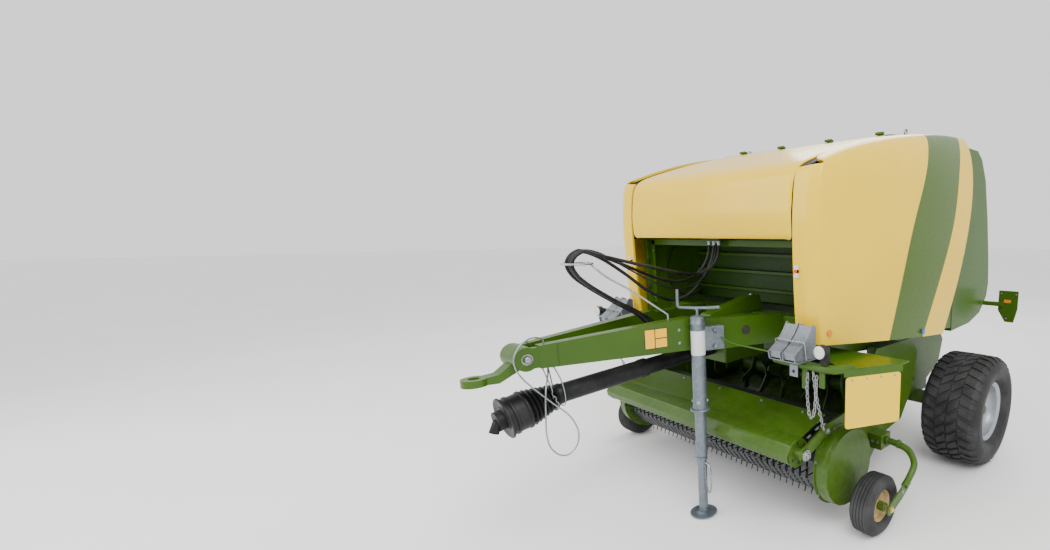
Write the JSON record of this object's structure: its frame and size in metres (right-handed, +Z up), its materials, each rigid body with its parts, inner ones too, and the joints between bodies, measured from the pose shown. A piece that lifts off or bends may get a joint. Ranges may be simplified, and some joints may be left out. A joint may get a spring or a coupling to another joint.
{
  "type": "round baler",
  "caption": "Towed round baler: hinged tailgate and hood, gull-wing side covers, tine pickup, feed rotor, towing eye, driveline and crank jack.",
  "frame": {"origin": "on the ground, under the middle of the machine's length and width", "axes": "+Z up, -Y forward along the drawbar, +X to the machine's left-hand side"},
  "size_m": [2.95, 4.295, 2.534],
  "materials": {
    "green_paint": "semi-gloss farm green",
    "cream_panel": "gloss cream yellow",
    "galvanised_steel": "dull zinc",
    "tyre_rubber": "matt black",
    "silver_rim": "satin silver",
    "black_plastic": "matt black",
    "hose_rubber": "matt black",
    "flap_rubber": "cream, matt",
    "stripper_steel": "dark, worn",
    "bare_steel": "bare"
  },
  "bodies": {
    "chassis": {"axle_beam": "green_paint", "bale_chamber": "green_paint", "drawbar": "green_paint", "driveline_guard": "black_plastic", "driveline_yoke": "black_plastic", "feeder_floor": "green_paint", "feeder_side_left": "green_paint", "feeder_side_right": "green_paint", "front_beam": "green_paint", "front_guard_left": "green_paint", "front_guard_right": "green_paint", "front_lamp_left": "black_plastic", "front_lamp_right": "black_plastic", "gearbox": "green_paint", "hitch_eye": "green_paint", "hood_beam": "green_paint", "hose_holder": "galvanised_steel", "hose_left": "hose_rubber", "hose_middle": "hose_rubber", "hose_right": "hose_rubber", "jack_crank": "galvanised_steel", "jack_sleeve": "galvanised_steel", "lamp_cable": "hose_rubber", "mud_flap_left": "flap_rubber", "mud_flap_right": "flap_rubber", "rear_wall": "green_paint", "roof_panel": "cream_panel", "safety_wire": "bare_steel", "side_frame_left": "green_paint", "side_frame_right": "green_paint", "valve_block": "bare_steel", "wheel_chocks_left": "galvanised_steel", "wheel_chocks_right": "galvanised_steel", "wrap_box": "green_paint"},
    "feed_rotor": {"feed_rotor": "green_paint"},
    "wheel_left": {"tyre_left": "tyre_rubber", "rim_left": "silver_rim"},
    "wheel_right": {"tyre_right": "tyre_rubber", "rim_right": "silver_rim"},
    "tailgate": {"tailgate": "green_paint", "light_bracket_left": "green_paint", "light_bracket_right": "green_paint"},
    "hood": {"front_hood": "cream_panel"},
    "cover_left": {"side_cover_left": "cream_panel"},
    "cover_right": {"side_cover_right": "cream_panel"},
    "pickup": {"pickup_frame": "green_paint", "pickup_strippers": "stripper_steel", "gauge_arm_left": "green_paint", "gauge_arm_right": "green_paint"},
    "tine_reel": {"tine_reel": "green_paint"},
    "windguard": {"windguard": "green_paint"},
    "gauge_wheel_left": {"gauge_wheel_left": "tyre_rubber"},
    "gauge_wheel_right": {"gauge_wheel_right": "tyre_rubber"},
    "jack_leg": {"jack_leg": "galvanised_steel"}
  },
  "joints": [
    {"name": "wheel_left_spin", "type": "hinge", "parent": "chassis", "child": "wheel_left", "pos_m": [1.25, 0.96, 0.43], "axis": [1, 0, 0], "continuous": true},
    {"name": "wheel_right_spin", "type": "hinge", "parent": "chassis", "child": "wheel_right", "pos_m": [-1.25, 0.96, 0.43], "axis": [1, 0, 0], "continuous": true},
    {"name": "feed_rotor_spin", "type": "hinge", "parent": "chassis", "child": "feed_rotor", "pos_m": [0, 0.2, 0.66], "axis": [1, 0, 0], "continuous": true},
    {"name": "pickup_lift", "type": "hinge", "parent": "chassis", "child": "pickup", "pos_m": [0, 0.2, 0.66], "axis": [-1, 0, 0], "range_deg": [0, 13]},
    {"name": "tine_reel_spin", "type": "hinge", "parent": "pickup", "child": "tine_reel", "pos_m": [0, -0.47, 0.385], "axis": [1, 0, 0], "continuous": true},
    {"name": "windguard_lift", "type": "hinge", "parent": "pickup", "child": "windguard", "pos_m": [0, -0.6, 0.63], "axis": [-1, 0, 0], "range_deg": [0, 12]},
    {"name": "gauge_wheel_left_spin", "type": "hinge", "parent": "pickup", "child": "gauge_wheel_left", "pos_m": [1.242, -0.431, 0.185], "axis": [1, 0, 0], "continuous": true},
    {"name": "gauge_wheel_right_spin", "type": "hinge", "parent": "pickup", "child": "gauge_wheel_right", "pos_m": [-1.242, -0.431, 0.185], "axis": [1, 0, 0], "continuous": true},
    {"name": "tailgate_lift", "type": "hinge", "parent": "chassis", "child": "tailgate", "pos_m": [0, 1.25, 2.5], "axis": [1, 0, 0], "range_deg": [0, 65]},
    {"name": "hood_lift", "type": "hinge", "parent": "chassis", "child": "hood", "pos_m": [0, 0.33, 2.455], "axis": [-1, 0, 0], "range_deg": [0, 55]},
    {"name": "cover_left_lift", "type": "hinge", "parent": "chassis", "child": "cover_left", "pos_m": [0.84, 0.3, 2.54], "axis": [0, -1, 0], "range_deg": [0, 75]},
    {"name": "cover_right_lift", "type": "hinge", "parent": "chassis", "child": "cover_right", "pos_m": [-0.84, 0.3, 2.54], "axis": [0, 1, 0], "range_deg": [0, 75]},
    {"name": "jack_leg_slide", "type": "slide", "parent": "chassis", "child": "jack_leg", "axis": [0, 0, 1], "range_m": [0, 0.25]}
  ]
}
